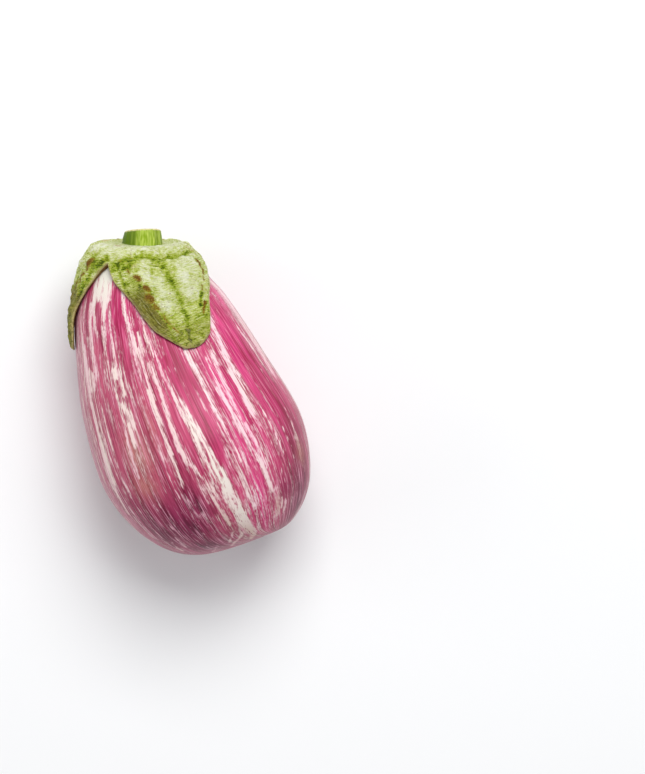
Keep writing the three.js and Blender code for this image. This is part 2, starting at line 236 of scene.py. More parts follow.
# Strokes of colour, as a brush would lay them on the skin: the places it passes (angle,
# reach), its half width in millimetres at the first and the last place, and its strength.
PALE_STROKES = [
    # the bare cream patch under the notch of the cap, with its tongues
    (((-38, 0.13), (-37, 0.175), (-36.5, 0.215)), 4.2, 5.0, 1.5),
    (((-33.5, 0.20), (-33, 0.25), (-33.5, 0.30)), 2.6, 1.0, 1.4),
    (((-45, 0.20), (-45.5, 0.27)), 1.5, 1.0, 1.2),
    (((-29.5, 0.17), (-28.5, 0.24)), 1.6, 0.7, 1.3),
    (((-48.5, 0.24), (-48.0, 0.33), (-47.5, 0.44)), 1.2, 1.7, 1.0),
    (((-44, 0.26), (-42.5, 0.31), (-41.3, 0.35)), 0.8, 0.4, 0.7),
    (((-54.5, 0.42), (-54.5, 0.46)), 1.5, 1.3, 1.0),
    (((-51, 0.43), (-51, 0.462)), 1.2, 1.0, 1.0),
    (((-33, 0.29), (-32.3, 0.35)), 0.6, 0.4, 0.7),
    (((-35.8, 0.32), (-35.5, 0.38), (-34.8, 0.44)), 0.6, 0.7, 0.7),
    (((-29, 0.31), (-29, 0.39), (-28.2, 0.47)), 0.5, 0.8, 0.8),
    # the broken chain of cream dabs further down
    (((-31.5, 0.445), (-30.5, 0.46)), 1.7, 1.4, 1.2),
    (((-34.2, 0.48), (-33.2, 0.52), (-35.2, 0.57)), 0.5, 0.5, 0.9),
    (((-28, 0.475), (-27.8, 0.50)), 0.9, 0.9, 1.1),
    (((-31.5, 0.515), (-30.5, 0.525)), 1.2, 1.0, 1.2),
    (((-28.8, 0.53), (-28.3, 0.555)), 1.1, 1.1, 1.1),
    (((-31.4, 0.55), (-31.8, 0.582)), 1.4, 1.1, 1.1),
    (((-36.4, 0.572), (-37.3, 0.60), (-38.8, 0.635)), 0.9, 0.7, 1.3),
    (((-41, 0.693), (-41.2, 0.706)), 1.0, 0.8, 0.9),
    (((-37, 0.688), (-37.2, 0.702)), 0.5, 0.5, 0.8),
    (((-42.3, 0.748), (-42.8, 0.762)), 0.7, 0.5, 0.8),
    (((-39.2, 0.72), (-39.6, 0.74)), 0.4, 0.4, 0.7),
    # the long white line beside the cap's front lobe
    (((-16.2, 0.19), (-15.4, 0.27), (-14.4, 0.33)), 0.9, 0.9, 1.3),
    (((-14.4, 0.32), (-13.5, 0.38), (-13.2, 0.43)), 0.8, 0.9, 1.2),
    (((-14.6, 0.42), (-14.4, 0.52)), 0.5, 0.5, 1.0),
    (((-11.6, 0.42), (-11.2, 0.53)), 0.6, 0.6, 1.1),
    (((-12.8, 0.51), (-13.6, 0.57), (-14.4, 0.62)), 0.8, 0.8, 1.1),
    (((-14.4, 0.61), (-15.8, 0.65), (-17.2, 0.688)), 0.8, 0.5, 1.2),
    (((-8.8, 0.38), (-8.3, 0.44)), 0.6, 0.6, 0.8),
    (((-6.8, 0.46), (-6.4, 0.51), (-6.4, 0.55)), 1.1, 0.9, 1.1),
    (((-7.3, 0.54), (-8.4, 0.58), (-9.8, 0.62)), 1.2, 1.3, 1.0),
    (((-9.5, 0.61), (-7.5, 0.65)), 2.0, 1.4, 0.7),
    (((-4.2, 0.33), (-3.4, 0.40), (-2.6, 0.45)), 0.5, 0.6, 0.9),
    (((-1.2, 0.44), (-0.8, 0.5), (-0.2, 0.55)), 0.5, 0.6, 1.0),
    (((0.2, 0.555), (0.6, 0.62), (1.4, 0.68)), 1.1, 1.3, 0.7),
    # the left flank
    (((-60.5, 0.32), (-60, 0.37)), 0.9, 1.2, 0.9),
    (((-59.2, 0.36), (-58.2, 0.41), (-57.2, 0.46)), 1.7, 1.9, 1.2),
    (((-57.6, 0.45), (-57.8, 0.51), (-58.4, 0.57)), 1.1, 1.2, 1.1),
    (((-58.8, 0.555), (-60, 0.59), (-61.2, 0.62)), 1.9, 1.9, 1.2),
    (((-61.5, 0.60), (-64, 0.645), (-67.5, 0.685)), 1.4, 0.6, 1.1),
    (((-47.2, 0.49), (-48.4, 0.54), (-50.2, 0.60), (-51.8, 0.66)), 0.5, 0.5, 1.0),
    (((-53.4, 0.52), (-53.8, 0.58), (-54.6, 0.65)), 0.4, 0.4, 0.8),
    (((-64, 0.24), (-62, 0.29), (-61, 0.33)), 0.9, 0.6, 0.7),
    (((-57, 0.22), (-58, 0.28), (-56.5, 0.32)), 0.6, 0.6, 0.6),
    (((-52.3, 0.655), (-55, 0.71), (-60, 0.765)), 0.5, 0.5, 0.8),
    (((-60.5, 0.675), (-63, 0.72), (-67.5, 0.77)), 0.7, 0.7, 0.7),
    (((-49, 0.782), (-51.5, 0.80), (-54.8, 0.823)), 0.8, 0.6, 0.9),
    (((-58.5, 0.79), (-62, 0.81), (-67, 0.83)), 0.8, 0.7, 0.7),
    (((-18, 0.50), (-17.8, 0.56), (-18.8, 0.63)), 0.4, 0.4, 0.8),
    (((-19.5, 0.60), (-21, 0.65), (-22.5, 0.70)), 0.4, 0.4, 0.7),
    (((-18.2, 0.706), (-18.3, 0.724)), 0.5, 0.5, 1.0),
    (((-18, 0.752), (-18.6, 0.79), (-19.8, 0.82)), 0.9, 0.6, 0.9),
    (((-24, 0.745), (-25, 0.78), (-27, 0.82)), 0.5, 0.4, 0.7),
    (((-6.3, 0.655), (-4, 0.69), (-1.8, 0.735)), 0.9, 0.6, 1.1),
    (((-8, 0.70), (-9.2, 0.735)), 0.9, 0.6, 0.8),
    (((-4.9, 0.725), (-4.5, 0.77), (-4.3, 0.81)), 0.9, 0.7, 0.9),
    # the thin dashes and strands under the tip of the front lobe
    (((16.9, 0.455), (17.1, 0.51), (17.2, 0.58)), 0.8, 0.7, 1.1),
    (((17.8, 0.575), (18, 0.62), (18.8, 0.68)), 0.5, 0.5, 0.8),
    (((13.5, 0.455), (13.9, 0.50)), 0.4, 0.4, 0.8),
    (((20.5, 0.655), (21.6, 0.70), (22.5, 0.745)), 0.5, 0.4, 0.6),
    (((16, 0.742), (17.2, 0.77), (18.4, 0.795)), 0.5, 0.4, 0.4),
    (((24, 0.738), (26, 0.775), (28.2, 0.815)), 0.6, 0.5, 0.5),
    (((21.3, 0.81), (23.5, 0.845), (26, 0.88)), 0.6, 0.6, 0.4),
    (((6.5, 0.49), (7.5, 0.53), (7.9, 0.57)), 0.4, 0.4, 0.8),
    (((11.8, 0.535), (12.6, 0.575)), 0.5, 0.4, 0.8),
    (((27.2, 0.49), (26, 0.53), (24.6, 0.56)), 0.8, 1.0, 1.1),
    (((31.8, 0.485), (30.4, 0.52), (28.6, 0.57)), 1.1, 1.2, 1.2),
    (((24.6, 0.55), (25, 0.59), (25.6, 0.63)), 1.1, 0.7, 1.1),
    (((28.4, 0.56), (28.6, 0.60), (29.2, 0.63)), 0.8, 0.7, 1.1),
    (((25.8, 0.62), (27.6, 0.66), (30, 0.70)), 0.8, 0.7, 1.0),
    (((29.6, 0.615), (31.2, 0.66), (33.6, 0.705)), 0.7, 0.8, 1.1),
    (((31, 0.69), (32.6, 0.73), (34.6, 0.765)), 0.7, 0.5, 0.9),
    (((43, 0.405), (41.4, 0.45), (39.4, 0.505)), 1.0, 1.3, 1.1),
    (((38.4, 0.49), (39.8, 0.52), (41.4, 0.54)), 1.0, 0.8, 1.2),
    (((37, 0.53), (36.8, 0.57), (36.2, 0.605)), 1.3, 1.4, 1.4),
    (((35, 0.59), (36.5, 0.615), (38.4, 0.645)), 0.7, 0.4, 0.8),
    (((43.4, 0.605), (45.8, 0.645), (48.6, 0.69)), 0.5, 0.5, 1.2),
    (((53.4, 0.64), (55.2, 0.67), (57.6, 0.705)), 0.4, 0.3, 0.8),
    (((61.4, 0.54), (62, 0.60), (64.6, 0.665)), 0.4, 0.5, 0.9),
    (((37.5, 0.76), (38, 0.80), (38, 0.84)), 1.4, 1.8, 0.7),
    (((45, 0.80), (48, 0.825)), 1.0, 0.8, 0.7),
    (((26.5, 0.52), (27, 0.58), (28, 0.64)), 1.0, 1.0, 0.6),
    (((28, 0.66), (30.5, 0.70), (33, 0.75)), 0.9, 0.7, 0.7),
    (((41.6, 0.79), (42, 0.82)), 0.8, 0.6, 0.8),
    (((46.6, 0.805), (46, 0.835)), 0.8, 0.8, 0.7),
    (((43.6, 0.72), (45.2, 0.755)), 0.4, 0.4, 0.7),
    (((40.4, 0.70), (40.8, 0.75)), 0.4, 0.4, 0.7),
    # the pale band on the right flank, partly the skin's own cream and partly a painted
    # highlight, and the patch low on the right flank
    (((76, 0.22), (78, 0.36), (77, 0.50), (73, 0.55)), 3.5, 3.0, 0.9),
    (((64, 0.45), (66, 0.50)), 1.2, 1.0, 0.7),
    (((64, 0.665), (67, 0.70), (71, 0.735)), 2.6, 2.6, 0.9),
    # cream streaks that sweep round the blossom end
    (((2, 0.855), (-8, 0.88), (-22, 0.898), (-40, 0.915)), 1.0, 0.7, 0.8),
    (((11, 0.88), (3, 0.905), (-8, 0.925)), 1.5, 1.0, 0.8),
    (((-8, 0.845), (-15, 0.868), (-24, 0.885)), 0.8, 0.5, 0.7),
    (((-27, 0.80), (-33, 0.835), (-42, 0.86)), 0.5, 0.4, 0.6),
    (((-36, 0.875), (-50, 0.89), (-65, 0.895)), 0.7, 0.6, 0.6),
    (((-24, 0.84), (-30, 0.86)), 0.5, 0.4, 0.6),
]
# The broad white stripe: its right edge is clean and its left edge is feathered.
BROAD_STRIPE = [
    (0.53, 0.4, 2.0), (0.57, 0.8, 4.6), (0.60, 1.8, 5.4), (0.65, 2.4, 6.9), (0.70, 0.8, 8.1),
    (0.75, 0.2, 9.0), (0.80, 0.8, 10.6), (0.85, 0.2, 12.6), (0.89, -1.5, 14.0),
]
DEEP_STROKES = [
    (((-51.5, 0.19), (-54, 0.25), (-52, 0.33)), 1.0, 1.1, 1.0),
    (((-53, 0.37), (-52.6, 0.42)), 0.9, 0.7, 0.9),
    (((-40.5, 0.245), (-38.6, 0.32), (-38.2, 0.39)), 1.4, 1.2, 1.2),
    (((-27, 0.24), (-24.6, 0.33)), 0.7, 0.6, 0.8),
    (((-31.6, 0.36), (-31.5, 0.42)), 0.9, 0.8, 1.0),
    (((-22, 0.22), (-21, 0.33), (-20, 0.45)), 2.2, 2.0, 0.8),
    (((-10.5, 0.25), (-8, 0.34), (-6.6, 0.42)), 1.2, 0.8, 1.0),
    (((-46.5, 0.49), (-45.5, 0.55), (-46.8, 0.61)), 1.4, 1.0, 1.0),
    (((-40, 0.485), (-38.5, 0.50)), 1.2, 1.0, 0.8),
    (((-9.2, 0.49), (-10.8, 0.58), (-12.5, 0.66), (-14, 0.74)), 0.8, 2.4, 1.2),
    (((-22, 0.54), (-22.8, 0.61), (-24, 0.69)), 0.8, 0.9, 1.0),
    (((-3.4, 0.55), (-3.2, 0.60)), 0.9, 0.8, 1.1),
    (((-2.6, 0.63), (-2.0, 0.67)), 0.9, 0.7, 1.0),
    (((4, 0.40), (8, 0.46), (11.5, 0.53)), 1.4, 2.2, 1.2),
    (((7, 0.55), (8.5, 0.62), (10.5, 0.70)), 0.8, 0.8, 0.8),
    (((33, 0.52), (32.4, 0.57), (33.2, 0.62)), 1.3, 1.0, 0.9),
    (((56, 0.36), (55.5, 0.48), (56.5, 0.60), (59, 0.69)), 3.4, 2.6, 1.1),
    (((46, 0.44), (46, 0.52), (45.5, 0.58)), 2.2, 2.0, 0.9),
    (((-46, 0.685), (-45.5, 0.70)), 2.4, 2.0, 1.0),
    (((-34, 0.70), (-32, 0.76), (-34, 0.84)), 5.0, 5.0, 0.9),
    (((-57, 0.67), (-62, 0.73), (-68, 0.78)), 2.0, 2.0, 0.7),
    (((-52, 0.66), (-54, 0.72), (-60, 0.80)), 2.2, 2.6, 0.8),
    (((8, 0.44), (11, 0.52)), 3.0, 2.6, 1.0),
    (((54, 0.44), (54, 0.60)), 3.0, 3.0, 0.9),
    (((-17, 0.69), (-13, 0.73), (-10, 0.76)), 2.4, 2.0, 1.0),
    # This stroke darkens the right edge low down: partly the skin's own purple and partly painted
    # shade.
    (((70, 0.66), (69, 0.76), (63, 0.86), (50, 0.93)), 5.0, 6.0, 1.2),
    (((52, 0.88), (44, 0.92), (28, 0.94)), 5.0, 4.0, 1.0),
    (((22, 0.56), (22, 0.62)), 2.0, 2.0, 0.5),
    (((-2, 0.59), (-3, 0.64), (-5, 0.69)), 2.2, 1.8, 0.8),
    (((9, 0.50), (10, 0.56), (11, 0.64)), 2.2, 2.0, 0.5),
    # This stroke darkens the right flank: partly the skin's own crimson and partly painted shade.
    (((58, 0.56), (59, 0.62), (60, 0.70)), 3.0, 3.0, 0.6),
    (((34, 0.90), (38, 0.94)), 4.0, 4.0, 0.5),
    (((-44, 0.67), (-47, 0.72), (-53, 0.79)), 2.2, 2.6, 0.7),
    (((-28, 0.735), (-29, 0.79)), 2.6, 3.0, 0.8),
    (((-19, 0.77), (-21, 0.81), (-27, 0.86)), 2.4, 2.8, 0.8),
    (((4, 0.47), (9, 0.48), (13, 0.52)), 2.4, 2.4, 1.2),
    (((60, 0.44), (61, 0.56)), 3.0, 3.0, 0.8),
    (((19, 0.80), (22, 0.84), (25, 0.88)), 2.0, 2.0, 0.5),
    (((6, 0.52), (7, 0.58), (8, 0.64)), 2.0, 2.0, 0.4),
]


def stroke_field(points, strokes):
    """How strongly the strokes cover each point, 0 where none does. Each stroke is drawn
    along the skin in short steps and thins out towards its ends."""
    field = np.zeros(len(points))
    for places, first, last, strength in strokes:
        course = [(k / (len(places) - 1), *place) for k, place in enumerate(places)]
        share = np.linspace(0, 1, STROKE_STEPS)
        angle, reach = rows_at(course, share).T
        path = skin_point(angle, reach)
        half = STROKE_SHARE * (first + (last - first) * share)
        limit = STROKE_LIMIT * half.max()
        near = np.all((points > path.min(0) - limit) & (points < path.max(0) + limit), axis=1)
        index = np.flatnonzero(near)
        if len(index) == 0:
            continue
        gap = np.linalg.norm(points[index][:, None, :] - path[None], axis=2)
        closest = gap.argmin(1)
        distance = gap[np.arange(len(index)), closest] / half[closest]
        cover = strength * np.clip(STROKE_FULL - STROKE_FADE * distance, 0, 1)
        field[index] = np.maximum(field[index], cover)
    return field


# Broad tints of the skin, as soft spots: angle, reach, spread round the fruit in degrees,
# spread along it in reach, strength. A few spots are painted shade or a painted highlight,
# as noted at each.
TINTS = {
    # Dark purple pigment, with some painted shade among its spots.
    "dark_purple_and_shade": [
        (-34, 0.77, 24, 0.10, 1.0), (-17, 0.735, 10, 0.06, 0.9), (-54, 0.76, 16, 0.10, 0.9),
        # The spot at angle 66 darkens the lower right flank: partly the skin's own purple and
        # partly painted shade.
        (-40, 0.85, 27, 0.07, 1.0), (48, 0.77, 12, 0.05, 0.7), (66, 0.80, 18, 0.15, 0.9),
        # The spot at angle -30 is painted shade, a broad band that darkens the skin at this
        # reach.
        (-30, 0.62, 34, 0.06, 0.3), (-5, 0.95, 60, 0.05, 0.3),
        (180, 0.80, 80, 0.16, 0.8), (-120, 0.85, 40, 0.14, 0.8), (125, 0.82, 36, 0.14, 0.8),
    ],
    "bright": [
        (52, 0.48, 18, 0.14, 1.0), (8, 0.48, 9, 0.07, 1.0), (-20, 0.30, 14, 0.12, 0.6),
        (25, 0.60, 20, 0.16, 0.7), (60, 0.34, 22, 0.10, 0.8), (24, 0.78, 10, 0.10, 0.9),
        (58, 0.60, 12, 0.08, 0.9), (26, 0.85, 12, 0.06, 1.0),
        (-125, 0.4, 30, 0.16, 0.6), (130, 0.45, 30, 0.18, 0.7),
    ],
    "russet": [
        (-33, 0.60, 8, 0.04, 0.55), (-38, 0.65, 8, 0.03, 0.5), (-19, 0.57, 2.5, 0.05, 0.3),
        (67, 0.70, 6, 0.022, 0.4),
    ],
    "mauve": [(-80, 0.50, 14, 0.26, 0.8), (-82, 0.75, 12, 0.12, 0.6), (66, 0.84, 18, 0.05, 0.25)],
    "faded": [
        (-44, 0.44, 9, 0.05, 0.35), (-60, 0.42, 9, 0.14, 0.3), (-66, 0.60, 7, 0.10, 0.15),
        # The spot at angle 76 pales the band on the right flank: partly the skin's own cream and
        # partly a painted highlight.
        (-40, 0.28, 12, 0.08, 0.4), (76, 0.45, 5, 0.16, 0.5), (34, 0.70, 12, 0.07, 0.3),
        (20, 0.78, 7, 0.08, 0.3),
    ],
    "fresh": [
        (-37, 0.17, 16, 0.09, 1.0), (-15, 0.25, 8, 0.12, 0.5), (3, 0.60, 4, 0.04, 0.6),
        (5, 0.69, 5, 0.06, 0.8), (6, 0.78, 6, 0.05, 0.6),
    ],
    "straw": [
        (7, 0.87, 8, 0.04, 0.6), (67, 0.70, 8, 0.04, 1.0), (38, 0.81, 4, 0.04, 0.7),
        (0, 0.91, 30, 0.03, 0.7), (-4, 0.80, 6, 0.06, 0.5),
    ],
    "rich": [
        (9, 0.50, 8, 0.07, 1.0), (57, 0.53, 11, 0.10, 0.4), (-33, 0.77, 16, 0.08, 0.3),
        # The spot at angle 62 deepens the right flank: partly the skin's own crimson and partly
        # painted shade.
        (-54, 0.74, 8, 0.08, 0.4), (62, 0.62, 10, 0.08, 0.7), (9, 0.60, 5, 0.07, 0.6),
        (-21, 0.30, 5, 0.09, 0.5), (48, 0.76, 14, 0.06, 0.4),
    ],
}


def tint_field(angle, reach, spots):
    """How strongly the soft spots tint each point, 0 to 1."""
    total = np.zeros(len(angle))
    for spot_angle, spot_reach, angle_spread, reach_spread, strength in spots:
        turn = (angle - spot_angle + 180) % 360 - 180
        distance = (turn / angle_spread) ** 2 + ((reach - spot_reach) / reach_spread) ** 2
        total = np.maximum(total, strength * np.exp(-distance))
    return total


def paint(mesh, name, values, kind="FLOAT"):
    """Stores one value, or one vector, for each point of a mesh."""
    layer = mesh.attributes.new(name, kind, "POINT")
    key = "value" if kind == "FLOAT" else "vector"
    layer.data.foreach_set(key, np.asarray(values, np.float32).ravel())


def add_ball(name, columns, rows):
    """A sphere with its bake map. Also each point's place on it, its angle round it, and how
    far down from its top pole it is, from 0 to 1."""
    bpy.ops.object.select_all(action="DESELECT")
    bpy.ops.mesh.primitive_uv_sphere_add(segments=columns, ring_count=rows, radius=1)
    ball = bpy.context.object
    ball.name = name
    ball.data.name = name
    ball.data.uv_layers[0].name = "OFBake"
    points = np.array([vertex.co for vertex in ball.data.vertices])
    angle = np.degrees(np.arctan2(points[:, 0], points[:, 1]))
    down = np.arccos(np.clip(points[:, 2], -1, 1)) / math.pi
    return ball, points, angle, down


def move_points(mesh, points):
    """Puts a mesh's points in place and shades it smooth."""
    mesh.vertices.foreach_set("co", (points * MM).astype(np.float32).ravel())
    for polygon in mesh.polygons:
        polygon.use_smooth = True
    mesh.update()


fruit, _, fruit_angle, fruit_reach = add_ball("fruit_skin", FRUIT_COLUMNS, FRUIT_ROWS)
fruit_skin = skin_point(fruit_angle, fruit_reach)
fruit_out = skin_normal(fruit_angle, fruit_reach)
scar_centre = skin_point(SCAR_ANGLE, SCAR_REACH)
from_scar = np.linalg.norm(fruit_skin - scar_centre, axis=1)
scar_dent = SCAR_DEPTH * np.exp(-((from_scar / SCAR_RADIUS) ** 2))
fruit_points = fruit_skin - fruit_out * (SKIN_INSET + scar_dent)[:, None]
fruit_points[:, 2] = np.maximum(fruit_points[:, 2], 0)
move_points(fruit.data, fruit_points)

streak_turn = streak_frame(fruit_angle, fruit_reach)
streak_round = STREAK_RADIUS * np.stack([np.sin(streak_turn), np.cos(streak_turn)], -1)
streak_place = np.column_stack([streak_round, STREAK_LENGTH * fruit_reach])
paint(fruit.data, "streak", streak_place, "FLOAT_VECTOR")
stripe_left, stripe_right = rows_at(BROAD_STRIPE, fruit_reach).T
stripe_share = (fruit_angle - stripe_left) / (stripe_right - stripe_left)
# The stripe begins softly at its left edge and ends at once at its right one. It fades at
# both ends and is weaker towards the left.
in_stripe = smooth(fruit_angle, stripe_left - 1.6, stripe_left + 2.6)
in_stripe *= smooth(stripe_right - fruit_angle, -0.15, 0.45)
in_stripe *= smooth(fruit_reach, 0.535, 0.555) * smooth(-fruit_reach, -0.90, -0.86)
in_stripe *= 0.5 + 0.5 * smooth(stripe_share, 0, 0.9)
pale = np.maximum(stroke_field(fruit_skin, PALE_STROKES), in_stripe)
paint(fruit.data, "pale", pale)
paint(fruit.data, "deep", stroke_field(fruit_skin, DEEP_STROKES))
for name, spots in TINTS.items():
    paint(fruit.data, name, tint_field(fruit_angle, fruit_reach, spots))
paint(fruit.data, "scar", np.exp(-((from_scar / (1.5 * SCAR_RADIUS)) ** 2)))
# Where the strokes above draw the pattern. Chance alone makes the rest.
paint(fruit.data, "drawn", smooth(-np.abs(fruit_angle), -95, -72))


def add_node(tree, kind, sockets=None, **settings):
    """A node with its settings, and its sockets linked or set."""
    made = tree.nodes.new(kind)
    for key, value in settings.items():
        setattr(made, key, value)
    for key, value in (sockets or {}).items():
        if isinstance(value, bpy.types.NodeSocket):
            tree.links.new(value, made.inputs[key])
        else:
            made.inputs[key].default_value = value
    return made


def maths(tree, operation, *values):
    sockets = dict(enumerate(values))
    return add_node(tree, "ShaderNodeMath", sockets, operation=operation).outputs[0]


def product(tree, first, *others):
    for value in others:
        first = maths(tree, "MULTIPLY", first, value)
    return first


def summed(tree, start, *terms):
    """A start value plus each term, which is a value and its weight."""
    for value, weight in terms:
        start = maths(tree, "MULTIPLY_ADD", value, weight, start)
    return start


def tinted(hex_colour):
    """A colour of six hex digits, turned to linear light."""
    values = [int(hex_colour[i : i + 2], 16) / 255 for i in (0, 2, 4)]
    linear = [v / 12.92 if v <= 0.04045 else ((v + 0.055) / 1.055) ** 2.4 for v in values]
    return (*linear, 1)


def blend(tree, factor, first, second):
    """Two colours mixed by a factor. Each is a socket or six hex digits."""
    first, second = (tinted(c) if isinstance(c, str) else c for c in (first, second))
    sockets = {0: factor, 6: first, 7: second}
    return add_node(tree, "ShaderNodeMix", sockets, data_type="RGBA").outputs[2]


def coated(tree, colour, *coats):
    """A colour with coats laid over it in turn, each with its cover and its colour."""
    for cover, coat in coats:
        colour = blend(tree, cover, colour, coat)
    return colour


def rise(tree, value, low, high):
    """0 below low, 1 above high, and a smooth rise between."""
    sockets = {"Value": value, "From Min": low, "From Max": high}
    kind = "ShaderNodeMapRange"
    return add_node(tree, kind, sockets, interpolation_type="SMOOTHSTEP").outputs[0]


def attribute(tree, name, output="Fac"):
    return add_node(tree, "ShaderNodeAttribute", attribute_name=name).outputs[output]


def add_relief(tree, shader, height, strength, distance):
    """Low relief under a shader. The distance is in metres."""
    sockets = {"Strength": strength, "Distance": distance, "Height": height}
    bump = add_node(tree, "ShaderNodeBump", sockets)
    tree.links.new(bump.outputs[0], shader.inputs["Normal"])


def noise_group():
    """A node group: noise stretched along a direction, from -1 to 1. Across and Along are
    the sizes of its blotches, in the units of the vector."""
    tree = bpy.data.node_groups.new("stretched noise", "ShaderNodeTree")
    sockets = (("Vector", "Vector"), ("Across", "Float"), ("Along", "Float"), ("Detail", "Float"))
    for name, kind in sockets:
        tree.interface.new_socket(name, in_out="INPUT", socket_type="NodeSocket" + kind)
    tree.interface.new_socket("Value", in_out="OUTPUT", socket_type="NodeSocketFloat")
    given = add_node(tree, "NodeGroupInput").outputs
    sizes = {0: given["Across"], 1: given["Across"], 2: given["Along"]}
    size = add_node(tree, "ShaderNodeCombineXYZ", sizes).outputs[0]
    parts = {0: given["Vector"], 1: size}
    scaled = add_node(tree, "ShaderNodeVectorMath", parts, operation="DIVIDE").outputs[0]
    settings = {"Vector": scaled, "Scale": 1.0, "Detail": given["Detail"]}
    grain = add_node(tree, "ShaderNodeTexNoise", settings)
    centred = maths(tree, "MULTIPLY_ADD", grain.outputs[0], 4.0, -2.0)
    add_node(tree, "NodeGroupOutput", {"Value": centred})
    return tree


STRETCHED_NOISE = noise_group()


def stretched(tree, vector, across, along, detail=2.0):
    group = tree.nodes.new("ShaderNodeGroup")
    group.node_tree = STRETCHED_NOISE
    tree.links.new(vector, group.inputs["Vector"])
    group.inputs["Across"].default_value = across
    group.inputs["Along"].default_value = along
    group.inputs["Detail"].default_value = detail
    return group.outputs[0]


skin_finish, skin, skin_shader = new_finish("striped_skin")
mask = {name: attribute(skin, name) for name in ("pale", "deep", "drawn", "scar", *TINTS)}
# Noise along the streaks, from broad bands to hairlines: its size across and along them and
# its detail. The threads are a second, shifted set of hairlines.
streak = attribute(skin, "streak", "Vector")
shift = {0: streak, 1: (13.0, 7.0, 40.0)}
shifted = add_node(skin, "ShaderNodeVectorMath", shift, operation="ADD").outputs[0]
band = stretched(skin, streak, 7.0, 90.0, 1.0)
strand = stretched(skin, streak, 2.2, 30.0, 2.0)
fibre = stretched(skin, streak, 0.7, 12.0, 2.0)
hairline = stretched(skin, streak, 0.36, 8.0, 1.0)
thread = stretched(skin, shifted, 0.5, 11.0, 1.0)
fleck = stretched(skin, streak, 0.45, 1.8, 1.0)

# How much pigment there is. Chance has more say where no stroke is drawn.
wild = summed(skin, 1.0, (mask["drawn"], -0.85), (mask["dark_purple_and_shade"], 0.3))
strand_share = summed(skin, 0.35, (wild, 0.4))
fine = summed(skin, 0.0, (fibre, 0.75), (fleck, 0.42), (hairline, 0.5))
fine_share = summed(skin, 1.0, (mask["rich"], -0.45))
brush = summed(skin, -1.4, (hairline, 0.55), (fleck, 0.35))
amount = summed(skin, 0.3, (band, wild), (strand, strand_share), (fine, fine_share))
amount = summed(skin, amount, (mask["drawn"], 0.3), (mask["pale"], brush), (mask["deep"], 1.0))
amount = summed(skin, amount, (mask["rich"], 0.5), (mask["faded"], -0.7))
pigment = rise(skin, amount, -0.7, 0.8)

# The ground between the streaks.
cream = blend(skin, rise(skin, strand, -0.9, 0.9), "E8D6CC", "E7BFC6")
cream = coated(
    skin,
    cream,
    (product(skin, mask["bright"], 0.75), "EFC6D7"),
    (mask["dark_purple_and_shade"], "D497AA"),
    (mask["straw"], "C6A493"),
    (mask["fresh"], "E4E1D3"),
)
# The pigment. Each of its colours runs from a dark shade to a light one.
shade = rise(skin, maths(skin, "ADD", strand, fibre), -1.4, 1.4)
colour = coated(
    skin,
    blend(skin, shade, "811339", "C35171"),
    (mask["bright"], blend(skin, shade, "A80044", "E2448A")),
    (mask["rich"], blend(skin, shade, "82002E", "B21C58")),
    (mask["mauve"], blend(skin, shade, "9A5266", "BE8496")),
    (mask["dark_purple_and_shade"], blend(skin, shade, "40001C", "8C2450")),
    (mask["russet"], blend(skin, shade, "AA5B4A", "C69279")),
)
thread_share = summed(skin, 0.6, (mask["rich"], -0.45), (mask["dark_purple_and_shade"], 0.25))
colour = coated(
    skin,
    colour,
    (product(skin, rise(skin, thread, 0.1, 1.0), thread_share), "DD97AE"),
    (product(skin, rise(skin, fleck, 0.5, 1.3), mask["dark_purple_and_shade"], 0.42), "E8B8C4"),
    (product(skin, rise(skin, thread, -0.1, -1.0), 0.45), "7A0038"),
)
colour = blend(skin, pigment, cream, colour)
colour = blend(skin, mask["scar"], colour, "826444")
skin.links.new(colour, skin_shader.inputs["Base Color"])
skin_shader.inputs["Roughness"].default_value = 0.42
skin_shader.inputs["Specular IOR Level"].default_value = 0.22
skin_shader.inputs["Coat Weight"].default_value = 0.05
skin_shader.inputs["Coat Roughness"].default_value = 0.25
add_relief(skin, skin_shader, summed(skin, 0.0, (strand, 0.6), (fibre, 0.25)), 0.25, 0.00025)
fruit.data.materials.append(skin_finish)
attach(fruit, "root")
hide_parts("fruit")


# ---------------------------------------------------------------------------------------
# The cap (calyx). A thick leathery crown over the neck and five lobes that hang down the
# fruit, all one green growth. Its outer and inner faces are grids laid over the skin, with a
# rounded rim between them, and its outer face has knobs and furrows.
GAP = 0.3
CROWN_THICKNESS = 2.8
CROWN_ROWS = 26
# The lobes part at the notches. Just above runs a lip with a crease under it, which is
# deepest over the front lobe.
NOTCH_REACH = 0.153
CREASE_REACH = 0.137
CREASE_WIDTH = 0.012
CREASE_DEPTH = 1.6
CREASE_ANGLE = 28
CREASE_SPREAD = 42
LIP_REACH = 0.114
LIP_WIDTH = 0.025
LIP_HEIGHT = 1.8
# The edges of the lobes lift off the skin and are rounded over. To tell how far a point is
# from an edge, every lobe counts as this long and the crown as this far from all edges.
EDGE_LIFT = 0.6
EDGE_ROUNDING = 0.9
LOBE_HANG = 35
FAR_FROM_EDGE = 9.0
MM_PER_REACH = 148
# The knobs' size, the size of their brown tips, and how much of their height is used.
KNOB_RADIUS = 1.9
KNOB_TIP = 1.3
KNOB_SHARE = 1.15
FACE_CALM = 0.55
END_DROP = 0.7
RIM_ROWS = 5
RIM_BULGE = 0.3
# How much of a lobe's height is left from its root, 0, to its tip, 1.
SWELL = [(0, 1), (0.5, 0.96), (0.8, 0.85), (1, 0.7)]
